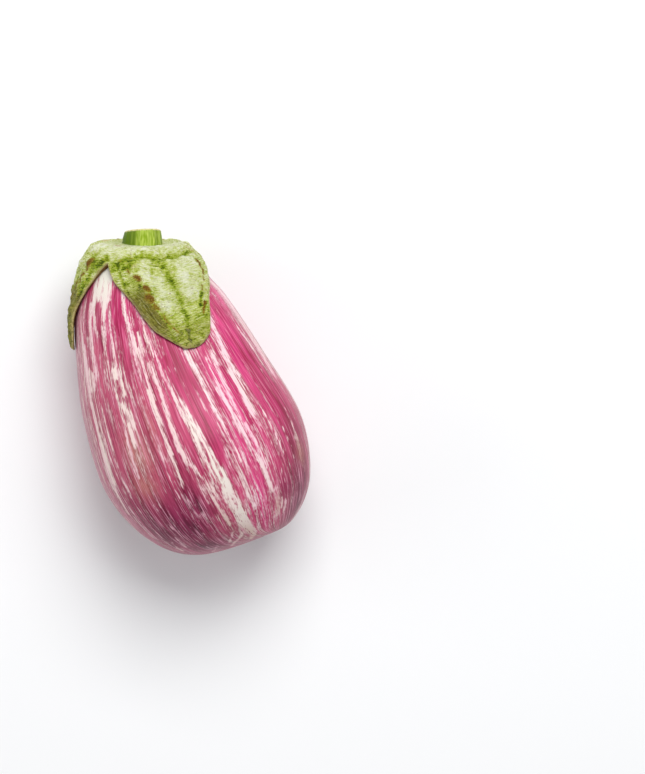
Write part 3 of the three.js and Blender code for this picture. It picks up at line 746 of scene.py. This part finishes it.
# Each lobe: columns, rows, reach of its tip, bow and lean of the tip, edges as rows of (how
# far down, left angle, right angle), section as rows of (how far across, height). The first
# is the broad front lobe, whose grain follows its left edge. The others' follows the right.
FRONT_LOBE = 0
LOBES = [
    (
        132, 100, 0.464, 0.012, 0.008,
        [
            (0, -31.3, 98), (0.07, -27.3, 88), (0.15, -22.4, 79), (0.26, -13.5, 69.5),
            (0.38, -7.5, 62), (0.5, -4.5, 56), (0.63, -2, 50.5), (0.79, 2.5, 45),
            (0.89, 8.5, 41), (1, 16, 36),
        ],
        [
            (-1, 1.6), (-0.8, 2.7), (-0.67, 3.9), (-0.6, 4.5), (-0.52, 4.0), (-0.35, 3.3),
            (0.05, 2.6), (0.45, 3.3), (0.74, 3.1), (0.82, 3.3), (0.88, 2.6), (1, 1.6),
        ],
    ),
    (
        48, 50, 0.33, 0.03, 0,
        [
            (0, 98, 146), (0.12, 111, 143), (0.35, 116, 139), (0.65, 120, 135),
            (0.88, 123, 132), (1, 125, 130),
        ],
        [(-1, 1.7), (-0.5, 2.9), (0, 4.2), (0.5, 2.9), (1, 1.7)],
    ),
    (
        48, 48, 0.315, 0.03, 0,
        [
            (0, 146, 192), (0.15, 152, 188), (0.4, 155, 183), (0.7, 160, 178),
            (0.9, 165, 174), (1, 168, 172),
        ],
        [(-1, 1.7), (-0.5, 2.7), (0, 3.8), (0.5, 2.7), (1, 1.7)],
    ),
    (
        48, 52, 0.34, 0.03, 0,
        [
            (0, 192, 240), (0.15, 198, 235), (0.4, 203, 231), (0.7, 208, 226),
            (0.9, 213, 222), (1, 216, 220),
        ],
        [(-1, 1.7), (-0.5, 2.8), (0, 4.0), (0.5, 2.8), (1, 1.7)],
    ),
    (
        88, 64, 0.352, 0.012, 0,
        [
            (0, 240, 328.7), (0.1, 243, 320.5), (0.21, 246, 312), (0.32, 249, 303.5),
            (0.44, 252, 295), (0.57, 255.5, 289.5), (0.7, 259, 287), (0.85, 264, 287),
            (1, 271, 284),
        ],
        [(-1, 1.4), (-0.55, 1.6), (-0.05, 2.3), (0.45, 2.5), (1, 1.5)],
    ),
]
# Knobs: angle, reach, height. Most sit on the ridges of the lobes.
KNOBS = [
    (-4, 0.173, 1.2), (-1, 0.205, 1.3), (3, 0.245, 1.5), (4, 0.285, 1.5), (6, 0.345, 1.2),
    (10, 0.40, 0.9), (59, 0.215, 0.6), (54, 0.262, 0.8), (46, 0.325, 0.8),
    (41, 0.37, 0.7), (-16, 0.152, 1.0), (-8, 0.158, 0.7), (126, 0.165, 1.1),
    (129, 0.205, 1.2), (127, 0.25, 0.9),
    (168, 0.17, 1.0), (170, 0.215, 1.0), (216, 0.165, 1.1), (218, 0.21, 1.2),
    (217, 0.26, 1.0), (305, 0.155, 1.0), (301, 0.185, 1.0), (296, 0.215, 0.9),
    (289, 0.245, 0.8), (282, 0.285, 0.7), (269, 0.245, 0.9), (270, 0.215, 0.7),
]


def bell(distance, width):
    return np.exp(-((distance / width) ** 2))


def turn_between(angle, other):
    return (angle - other + 180) % 360 - 180


def crown_height(angle, reach):
    """A rounded lip, then the crease that the front lobe hangs from."""
    lip = LIP_HEIGHT * bell(reach - LIP_REACH, LIP_WIDTH)
    crease = CREASE_DEPTH * bell(reach - CREASE_REACH, CREASE_WIDTH)
    crease = crease * bell(turn_between(angle, CREASE_ANGLE), CREASE_SPREAD)
    return CROWN_THICKNESS + lip - crease


# Every point of a face: angle, reach, height over the skin, way to the edge, lift of the
# inner face and line of the grain. The pole comes first, then the rows of the crown, then
# the rows of each lobe.
crown_angles = np.concatenate(
    [
        edges[0][1] + (edges[0][2] - edges[0][1]) * np.arange(columns) / columns
        for columns, _, _, _, _, edges, _ in LOBES
    ]
)
crown_count = len(crown_angles)
crown_grid = 1 + np.arange(CROWN_ROWS * crown_count).reshape(CROWN_ROWS, crown_count)
crown_grid = np.hstack([crown_grid, crown_grid[:, :1]])
site_angle = [np.zeros(1), np.tile(crown_angles, CROWN_ROWS)]
crown_share = (np.arange(CROWN_ROWS) + 1) / CROWN_ROWS
site_reach = [np.zeros(1), np.repeat(crown_share * NOTCH_REACH, crown_count)]
site_height = [crown_height(np.concatenate(site_angle), np.concatenate(site_reach))]
site_edge = [np.full(1 + CROWN_ROWS * crown_count, FAR_FROM_EDGE)]
site_lift = [np.zeros(1 + CROWN_ROWS * crown_count)]
site_line = [np.concatenate(site_angle)]
lobe_grids = []
start = 0
total = 1 + CROWN_ROWS * crown_count
for number, (columns, rows, tip_reach, bow, lean, edges, section) in enumerate(LOBES):
    root = crown_grid[-1, start : start + columns + 1]
    inner_grid = total + np.arange(rows * (columns + 1)).reshape(rows, columns + 1)
    lobe_grids.append(np.vstack([root, inner_grid]))
    total += inner_grid.size
    start += columns
    across = np.tile(np.linspace(-1, 1, columns + 1), rows)
    down = np.repeat((np.arange(rows) + 1) / rows, columns + 1)
    left, right = rows_at(edges, down).T
    angle = left + (right - left) * (across + 1) / 2
    tip = tip_reach - bow * across**2 - lean * across
    reach = NOTCH_REACH + (tip - NOTCH_REACH) * down
    lobe_height = rows_at(section, across)[:, 0] * rows_at(SWELL, down)[:, 0]
    lift = EDGE_LIFT * across**2 * smooth(down, 0.1, 0.6)
    hang = smooth(down, 0, 0.22)
    half_width = np.radians(right - left) * ring_at(reach)[1] / 2
    edge = np.minimum((1 - np.abs(across)) * half_width, (1 - down) * LOBE_HANG)
    # The edge is rounded off, least near the root.
    kept = 0.42 + 0.55 * smooth(-down, -0.42, -0.1)
    round_off = np.sqrt(1 - (1 - np.clip(edge / EDGE_ROUNDING, 0, 1)) ** 2)
    round_off = kept + (1 - kept) * round_off
    crown = crown_height(angle, reach)
    drift = left - edges[0][1] if number == FRONT_LOBE else right - edges[0][2]
    site_angle.append(angle)
    site_reach.append(reach)
    site_line.append(angle - drift)
    full_height = crown + (lobe_height + lift - crown) * hang
    site_height.append((full_height - lift) * round_off + lift)
    site_edge.append(edge)
    site_lift.append(lift)
site_angle, site_reach, site_height, site_edge, site_lift, site_line = map(
    np.concatenate, (site_angle, site_reach, site_height, site_edge, site_lift, site_line)
)
site_skin = skin_point(site_angle, site_reach)
site_out = skin_normal(site_angle, site_reach)

# Knobs and relief on the outer face, less of it near the rim and none under the stem.
knob = np.zeros(len(site_angle))
knob_tip = np.zeros(len(site_angle))
for knob_angle, knob_reach, rise_mm in KNOBS:
    gap_mm = np.linalg.norm(site_skin - skin_point(knob_angle, knob_reach), axis=1)
    knob += rise_mm * np.exp(-((gap_mm / KNOB_RADIUS) ** 1.6))
    knob_tip = np.maximum(knob_tip, bell(gap_mm, KNOB_TIP))
# Furrows: places, half width at each end, depth. The first two are the crease under the lip,
# and the next two are the vein of the front lobe.
FURROWS = [
    (((-10, 0.144), (0, 0.138), (14, 0.136)), 1.1, 0.8, 0.9),
    (((15, 0.150), (24, 0.147), (38, 0.143), (54, 0.140), (76, 0.137)), 1.3, 0.9, 1.0),
    (((20, 0.158), (24, 0.195), (26, 0.250)), 2.3, 1.8, 0.8),
    (((26, 0.250), (26, 0.32), (25, 0.39), (22, 0.44)), 1.8, 1.4, 0.4),
    (((6, 0.162), (13, 0.170), (20, 0.172)), 0.5, 0.4, 0.5),
    (((1, 0.170), (8, 0.180), (15, 0.184)), 0.4, 0.4, 0.4),
    (((14, 0.155), (11, 0.185), (9, 0.21)), 0.9, 0.5, 0.4),
    (((-47, 0.13), (-58, 0.135), (-72, 0.135)), 1.2, 0.9, 0.8),
    (((-50, 0.17), (-60, 0.21), (-68, 0.26), (-74, 0.31)), 1.2, 0.8, 0.8),
    (((-22, 0.15), (-16, 0.19), (-9, 0.25), (-4, 0.31)), 1.0, 0.7, 0.6),
]
furrow = stroke_field(site_skin, FURROWS)
# Lumps of three sizes: height, size, and a shift so that they don't repeat each other.
LUMPS = [(0.7, 4.0, 0), (0.55, 1.9, 20), (0.36, 0.9, 50)]
roughness = np.array(
    [
        sum(high * noise.noise(Vector(spot / size + shift)) for high, size, shift in LUMPS)
        for spot in site_skin
    ]
)
calm = smooth(site_reach, 0.065, 0.11) * (0.25 + 0.75 * smooth(site_edge, 0.2, 2.5))
# The broad face of the front lobe is smoother, and the crown is lower at its end.
face = bell(turn_between(site_angle, 33), 24) * smooth(site_reach, 0.15, 0.2)
relief = roughness * (1 - FACE_CALM * face) - furrow + KNOB_SHARE * knob
relief -= END_DROP * smooth(site_out[:, 1], 0.7, 0.95)
outer_points = site_skin + site_out * (GAP + site_height + relief * calm)[:, None]
inner_points = site_skin + site_out * (GAP + site_lift)[:, None]

# The rim goes down the left edge of each lobe, along its tip and up its right edge.
rim = np.concatenate(
    [np.concatenate([grid[:, 0], grid[-1, 1:], grid[-2:0:-1, -1]]) for grid in lobe_grids]
)
rim_course = np.roll(outer_points[rim], -1, axis=0) - np.roll(outer_points[rim], 1, axis=0)
rim_side = np.cross(rim_course, site_out[rim])
rim_side /= np.linalg.norm(rim_side, axis=1, keepdims=True)
rim_points = []
for row in range(1, RIM_ROWS + 1):
    share = row / (RIM_ROWS + 1)
    middle = outer_points[rim] * (1 - share) + inner_points[rim] * share
    rim_points.append(middle + rim_side * RIM_BULGE * math.sin(math.pi * share))


def strip(first, second):
    """Quads between two rows of point numbers."""
    return np.stack([first[:-1], second[:-1], second[1:], first[1:]], 1)


def grid_quads(grid):
    return np.concatenate([strip(grid[j], grid[j + 1]) for j in range(len(grid) - 1)])


cap_total = len(site_angle)
outer_quads = np.concatenate([grid_quads(crown_grid), *map(grid_quads, lobe_grids)])
rim_rows = [rim, *(2 * cap_total + k * len(rim) + np.arange(len(rim)) for k in range(RIM_ROWS))]
rim_rows = [np.append(row, row[0]) for row in [*rim_rows, rim + cap_total]]
rim_quads = np.concatenate([strip(a, b) for a, b in zip(rim_rows, rim_rows[1:])])
top_row = crown_grid[0]
cap_fan = [(0, a, b) for a, b in zip(top_row, top_row[1:])]
cap_fan += [(cap_total, cap_total + b, cap_total + a) for a, b in zip(top_row, top_row[1:])]
cap_quads = np.concatenate([outer_quads, (outer_quads + cap_total)[:, ::-1], rim_quads])
cap_points = np.concatenate([outer_points, inner_points, *rim_points])
cap_mesh = bpy.data.meshes.new("leafy_cap")
cap_mesh.from_pydata(
    (cap_points * MM).tolist(), [], [tuple(map(int, f)) for f in [*cap_fan, *cap_quads]]
)
cap = bpy.data.objects.new("leafy_cap", cap_mesh)
bpy.context.scene.collection.objects.link(cap)
for polygon in cap_mesh.polygons:
    polygon.use_smooth = True


def on_cap(values, inner=0.0, first_rim=0.0, other_rim=0.0):
    """Values for the points of the outer face, then the inner face and the rim's rows."""
    first = np.full(len(rim), first_rim)
    other = np.full(len(rim) * (RIM_ROWS - 1), other_rim)
    return np.concatenate([values, np.full(cap_total, inner), first, other])


# Marks on the outer face, as strokes: brown scabs, pale faces that are partly the cap's own
# pale green and partly a painted highlight, a tan blush, and valleys darkened with painted
# shade.
SCABS = [
    (((-10, 0.176), (-8, 0.186)), 1.0, 0.8, 0.8),
    (((-3, 0.200), (0, 0.212)), 1.5, 1.2, 1.0),
    (((4, 0.240), (5.5, 0.256)), 1.6, 1.3, 1.3),
    (((4.5, 0.280), (6.5, 0.300)), 1.9, 1.6, 1.3),
    (((7, 0.325), (8.5, 0.345)), 1.4, 1.2, 1.1),
    (((10, 0.370), (12, 0.400)), 1.1, 0.9, 0.9),
    (((13, 0.410), (16, 0.430)), 0.8, 0.6, 0.8),
    (((66, 0.168), (62, 0.192)), 1.1, 1.0, 1.3),
    (((60, 0.200), (56, 0.226)), 0.9, 0.8, 1.2),
    (((54, 0.236), (51, 0.262)), 0.5, 0.4, 0.8),
    (((47, 0.28), (44, 0.31)), 0.5, 0.4, 0.8),
    (((40, 0.37), (36, 0.40)), 0.8, 0.7, 1.1),
    (((46, 0.101), (58, 0.104)), 1.1, 0.9, 0.7),
    (((66, 0.079), (75, 0.086)), 0.9, 0.7, 0.8),
    (((84, 0.110), (88, 0.150), (84, 0.180)), 0.9, 0.7, 0.7),
    (((-51, 0.150), (-56, 0.168)), 1.6, 1.2, 1.3),
    (((-60, 0.178), (-63, 0.192)), 1.3, 0.9, 1.1),
    (((-68, 0.192), (-72, 0.206)), 1.2, 0.9, 1.0),
    (((-76, 0.215), (-80, 0.230)), 1.1, 0.8, 1.0),
    (((-86, 0.235), (-88, 0.26)), 1.0, 0.8, 1.0),
    (((-40, 0.170), (-49, 0.215), (-58, 0.26)), 0.5, 0.5, 0.7),
    (((150, 0.10), (158, 0.12)), 1.4, 1.0, 1.0),
    (((-150, 0.11), (-140, 0.12)), 1.2, 1.0, 1.0),
]
# Pale faces: the crown's lip and the broad faces of the front lobe, partly their own pale green
# and partly a painted highlight where the light falls on them.
PALE_AND_LIT_FACES = [
    (((-62, 0.108), (-45, 0.115), (-28, 0.105), (-6, 0.09), (14, 0.09)), 7.0, 7.5, 1.1),
    (((14, 0.09), (40, 0.085), (70, 0.09), (95, 0.10)), 7.5, 6.0, 1.1),
    (((5, 0.180), (9, 0.21), (13, 0.24), (16, 0.30), (15, 0.36)), 4.2, 2.6, 0.8),
    (((50, 0.158), (42, 0.21), (37, 0.26), (34, 0.30)), 6.0, 3.4, 1.0),
    (((34, 0.30), (32, 0.33), (29, 0.38)), 2.6, 1.8, 0.5),
    (((-20, 0.128), (-6, 0.128)), 1.6, 1.4, 0.5),
]
BLUSH = [
    (((-36, 0.092), (-31, 0.094)), 1.7, 1.4, 1.1),
    (((48, 0.097), (60, 0.10)), 1.8, 1.4, 0.8),
    (((-120, 0.09), (-100, 0.095)), 2.2, 1.8, 0.8),
    (((70, 0.12), (82, 0.14)), 1.6, 1.4, 0.6),
    (((8, 0.33), (13, 0.39), (19, 0.44)), 3.5, 4.0, 0.4),
    (((32, 0.30), (30, 0.37), (26, 0.44)), 4.0, 4.0, 0.3),
]
# Valleys: the furrows, the crease under the lip and other folds, drawn a darker green. This is
# painted shade in the folds.
SHADED_VALLEYS = [
    *FURROWS,
    (((-8, 0.143), (0, 0.138), (14, 0.136)), 1.5, 1.2, 0.9),
    (((15, 0.149), (24, 0.147), (38, 0.143), (54, 0.139), (74, 0.137)), 1.8, 1.1, 1.0),
    (((-50, 0.150), (-42, 0.158), (-35, 0.146)), 2.6, 2.0, 1.2),
    (((-52, 0.190), (-62, 0.240), (-70, 0.29)), 2.4, 2.0, 0.8),
    (((-24, 0.164), (-15, 0.156), (-4, 0.154)), 2.4, 2.2, 0.9),
    (((-14, 0.172), (-6, 0.168)), 1.3, 1.1, 0.8),
    (((6, 0.255), (7, 0.275)), 1.0, 0.9, 0.9),
    (((0, 0.225), (1, 0.235)), 1.2, 1.0, 0.9),
    (((42, 0.325), (39, 0.35), (37, 0.372)), 1.0, 0.9, 1.1),
    (((41, 0.372), (39, 0.38)), 0.8, 0.7, 1.0),
    (((22, 0.425), (20, 0.455)), 1.4, 1.1, 1.0),
]
# The line of the front lobe's left ridge, as (reach, angle). The side of the lobe falls
# away beyond it and is darker, partly with an olive-brown of its own and partly with painted
# shade, as it faces away from the light. So are the side of the left lobe and, less so, the
# lower end of the front lobe.
RIDGE = [
    (0.14, -18), (0.18, -9), (0.21, -2), (0.25, 3.5), (0.29, 5.5), (0.33, 7), (0.38, 10),
    (0.42, 13), (0.47, 17),
]
ridge_angle = rows_at(RIDGE, np.clip(site_reach, RIDGE[0][0], RIDGE[-1][0]))[:, 0]
in_front = smooth(turn_between(site_angle, -34), 0, 6)
front_flank = smooth(turn_between(ridge_angle, site_angle), -0.8, 2.2) * in_front
front_flank *= smooth(site_reach, 0.15, 0.30) * smooth(-site_reach, -0.50, -0.38)
side_flank = smooth(-turn_between(site_angle, -56), 0, 10) * smooth(site_reach, 0.16, 0.22)
low_front = 0.6 * smooth(site_reach, 0.32, 0.44) * in_front
low_front *= smooth(-turn_between(site_angle, 80), 0, 10)
flank = np.maximum(np.maximum(front_flank, 0.9 * side_flank), low_front)
# The pale faces are partly a painted highlight, and the valleys are painted shade.
for name, strokes in {"light": PALE_AND_LIT_FACES, "blush": BLUSH, "painted_shade": SHADED_VALLEYS}.items():
    paint(cap_mesh, name, on_cap(stroke_field(site_skin, strokes)))
paint(cap_mesh, "scab", on_cap(stroke_field(site_skin, SCABS) + 0.35 * knob_tip))
paint(cap_mesh, "height", on_cap(roughness))
paint(cap_mesh, "flank", on_cap(flank))
paint(cap_mesh, "edge", on_cap(np.exp(-site_edge / 0.4), 0.0, 0.8, 0.1))
paint(cap_mesh, "under", on_cap(np.zeros(cap_total), 1.0, 0.2, 1.0))
# The grain runs down each lobe. Its seam is low on the left side.
GRAIN_RADIUS = 28
GRAIN_SEAM = 120
grain_round = GRAIN_RADIUS * np.radians((site_line + GRAIN_SEAM) % 360)
grain_place = np.zeros((len(cap_points), 3))
grain_place[:cap_total, 0] = grain_round
grain_place[:cap_total, 2] = MM_PER_REACH * site_reach
paint(cap_mesh, "grain", grain_place, "FLOAT_VECTOR")


def place_in_mm(tree):
    place = add_node(tree, "ShaderNodeTexCoord").outputs["Object"]
    sockets = {0: place, 3: 1 / MM}
    return add_node(tree, "ShaderNodeVectorMath", sockets, operation="SCALE").outputs[0]


cap_finish, leaf, leaf_shader = new_finish("leathery_green")
place = place_in_mm(leaf)
mottle = stretched(leaf, place, 2.2, 2.2, 3.0)
speckle = stretched(leaf, place, 0.55, 0.55, 2.0)
grain = attribute(leaf, "grain", "Vector")
wrinkle = stretched(leaf, grain, 2.6, 0.5, 3.0)
hair = stretched(leaf, grain, 0.45, 6.0, 2.0)
MARKS = ("height", "light", "painted_shade", "flank", "blush", "scab", "edge", "under")
mask = {name: attribute(leaf, name) for name in MARKS}
# How pale the green is: paler on the lumps and on the pale faces, which are partly a
# painted highlight; greener and darker in the valleys, which is painted shade; darker on
# the flanks, partly their own olive and partly painted shade.
mottle_share = summed(leaf, 0.24, (mask["light"], -0.16))
speckle_share = summed(leaf, 0.16, (mask["light"], -0.06))
bloom = summed(leaf, 0.63, (mottle, mottle_share), (speckle, speckle_share), (wrinkle, 0.36))
bloom = summed(leaf, bloom, (mask["height"], 0.22), (mask["light"], 0.24))
bloom = summed(leaf, bloom, (mask["painted_shade"], -0.5), (mask["flank"], -0.36))
GREENS = [
    (0.0, "4C5E08"), (0.15, "748C04"), (0.34, "A2B428"), (0.54, "C6D06A"), (0.76, "E2E8A8"),
    (1.0, "F8FADC"),
]
greens = add_node(leaf, "ShaderNodeValToRGB", {0: bloom})
stops = greens.color_ramp.elements
for stop, (position, green) in zip((stops[0], stops[1]), (GREENS[0], GREENS[-1])):
    stop.position = position
    stop.color = tinted(green)
for position, green in GREENS[1:-1]:
    stops.new(position).color = tinted(green)
blushing = summed(leaf, mask["blush"], (speckle, 0.5))
scabby = summed(leaf, mask["scab"], (speckle, 0.6), (mottle, 0.3), (hair, 0.25))
# The flanks get an olive-brown, partly their own colour and partly painted shade.
leaf_colour = coated(
    leaf,
    greens.outputs[0],
    (product(leaf, rise(leaf, mask["flank"], 0.35, 1.0), 0.7), "7C6A30"),
    (product(leaf, rise(leaf, hair, 0.1, 1.0), mask["flank"], 0.75), "D8D09A"),
    (product(leaf, rise(leaf, hair, 0.0, -1.0), mask["flank"], 0.85), "4A3E10"),
    (rise(leaf, blushing, 0.3, 1.3), "D2AC80"),
    (rise(leaf, scabby, 0.2, 1.0), "A08A22"),
    (rise(leaf, scabby, 0.6, 1.5), "7A5016"),
    (product(leaf, mask["edge"], rise(leaf, mottle, -1.2, 0.4)), "CFBE80"),
    (mask["under"], "6E4A1C"),
)
leaf.links.new(leaf_colour, leaf_shader.inputs["Base Color"])
leaf_shader.inputs["Roughness"].default_value = 0.6
leaf_shader.inputs["Specular IOR Level"].default_value = 0.2
add_relief(leaf, leaf_shader, summed(leaf, speckle, (wrinkle, 1.0), (hair, 0.5)), 0.9, 0.0004)
cap_mesh.materials.append(cap_finish)
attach(cap, "root")
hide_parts("calyx")


# ---------------------------------------------------------------------------------------
# The stem. A short green stub cut off above the crown, ribbed round its side, with a
# dished cut and a dry tan rim with brown flecks. It is turned from a sphere whose poles are
# the middle of the cut and the middle of the foot.
STEM_COLUMNS = 160
STEM_ROWS = 72
# How far out of the neck's end the foot and the top stand, along its axis.
STEM_FOOT = 2.7
STEM_TOP = 9.4
# The cut rises by this much at this radius, on the side at this angle.
CUT_SLANT = 1.7
CUT_SLANT_RADIUS = 7.2
CUT_SLANT_ANGLE = 22
LUMP_SHARE = 0.02
LUMPS_ROUND_STEM = 2.3
STEM_GRAIN_RADIUS = 7
# Rows from the middle of the cut to the middle of the foot: place, radius, height over
# the foot as a share.
STEM_PROFILE = [
    (0, 0, 0.91), (0.1, 2.2, 0.92), (0.2, 4.4, 0.93), (0.28, 6.0, 0.96), (0.33, 6.8, 0.99),
    (0.38, 7.4, 0.98), (0.44, 7.85, 0.90), (0.52, 8.15, 0.72), (0.62, 8.45, 0.45),
    (0.72, 8.65, 0.22), (0.80, 8.7, 0.08), (0.88, 8.7, -0.05), (1, 0, -0.3),
]
# Grooves down the side: angle round the stub, half width in degrees, depth.
STEM_GROOVES = [
    (-68, 14, 0.3), (-44, 10, 0.45), (-24, 8, 0.4), (-8, 4, 0.2), (24, 5, 0.1), (52, 9, 0.3),
    (82, 8, 0.4), (122, 8, 0.4), (160, 9, 0.5), (206, 8, 0.4), (250, 9, 0.45),
]
stem, ball, stem_angle, stem_place = add_ball("cut_stem", STEM_COLUMNS, STEM_ROWS)
stem_radius, stem_rise = rows_at(STEM_PROFILE, stem_place).T
on_side = smooth(stem_place, 0.36, 0.46) * smooth(-stem_place, -0.86, -0.72)
groove = np.zeros(len(ball))
for groove_angle, half_turn, depth in STEM_GROOVES:
    groove += depth * bell(turn_between(stem_angle, groove_angle), half_turn)
lumps = np.array([noise.noise(Vector(point * LUMPS_ROUND_STEM)) for point in ball])
groove_share = (0.25 + 0.75 * on_side) * smooth(stem_radius, 3, 6)
stem_radius = stem_radius * (1 + LUMP_SHARE * lumps) - groove * groove_share
seat_centre, _, seat_across, seat_along, seat_up = (value[0] for value in ring_at([0.0]))
stem_turn = np.radians(stem_angle)
round_the_stem = np.outer(np.sin(stem_turn), seat_across) + np.outer(np.cos(stem_turn), seat_up)
slant = CUT_SLANT * stem_radius / CUT_SLANT_RADIUS
slant *= np.cos(np.radians(stem_angle - CUT_SLANT_ANGLE)) * smooth(stem_rise, 0.3, 0.9)
stem_height = STEM_FOOT + (STEM_TOP - STEM_FOOT) * stem_rise + slant
stem_points = seat_centre + round_the_stem * stem_radius[:, None]
stem_points += stem_height[:, None] * seat_along
move_points(stem.data, stem_points)
cut_rim = bell(stem_place - 0.375, 0.07)
# The side of the stub away from the light is drawn darker, and so are its grooves: painted shade.
shaded_side = 0.65 * smooth(turn_between(-12, stem_angle), 0, 40)
paint(stem.data, "rim", cut_rim)
paint(stem.data, "painted_shade", np.clip(groove * 2.0 + shaded_side, 0, 1) * on_side)
paint(stem.data, "cut", smooth(-stem_place, -0.33, -0.28))
stem_grain = np.stack([stem_turn * STEM_GRAIN_RADIUS, stem_height * 0, stem_height], -1)
paint(stem.data, "grain", stem_grain, "FLOAT_VECTOR")

stem_finish, stalk, stalk_shader = new_finish("green_stalk")
stalk_fibre = stretched(stalk, attribute(stalk, "grain", "Vector"), 0.7, 5.0, 2.0)
stalk_speckle = stretched(stalk, place_in_mm(stalk), 0.9, 0.9, 2.0)
rim_share = product(stalk, summed(stalk, 1.0, (stalk_speckle, 0.6)), attribute(stalk, "rim"))
flesh = blend(stalk, rise(stalk, stalk_speckle, -0.9, 0.9), "AEB868", "D8DCB0")
stalk_colour = coated(
    stalk,
    blend(stalk, rise(stalk, stalk_fibre, -0.8, 0.9), "7E9A0A", "BCCC5E"),
    # Darker green in the grooves and on the side away from the light: painted shade.
    (attribute(stalk, "painted_shade"), "587200"),
    (attribute(stalk, "cut"), flesh),
    (rise(stalk, rim_share, 0.2, 0.8), "D8CC98"),
    (rise(stalk, rim_share, 1.0, 1.5), "8A5A24"),
)
stalk.links.new(stalk_colour, stalk_shader.inputs["Base Color"])
stalk_shader.inputs["Roughness"].default_value = 0.55
stalk_shader.inputs["Specular IOR Level"].default_value = 0.2
add_relief(stalk, stalk_shader, stalk_fibre, 0.4, 0.0003)
stem.data.materials.append(stem_finish)
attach(stem, "root")
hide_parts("stem")
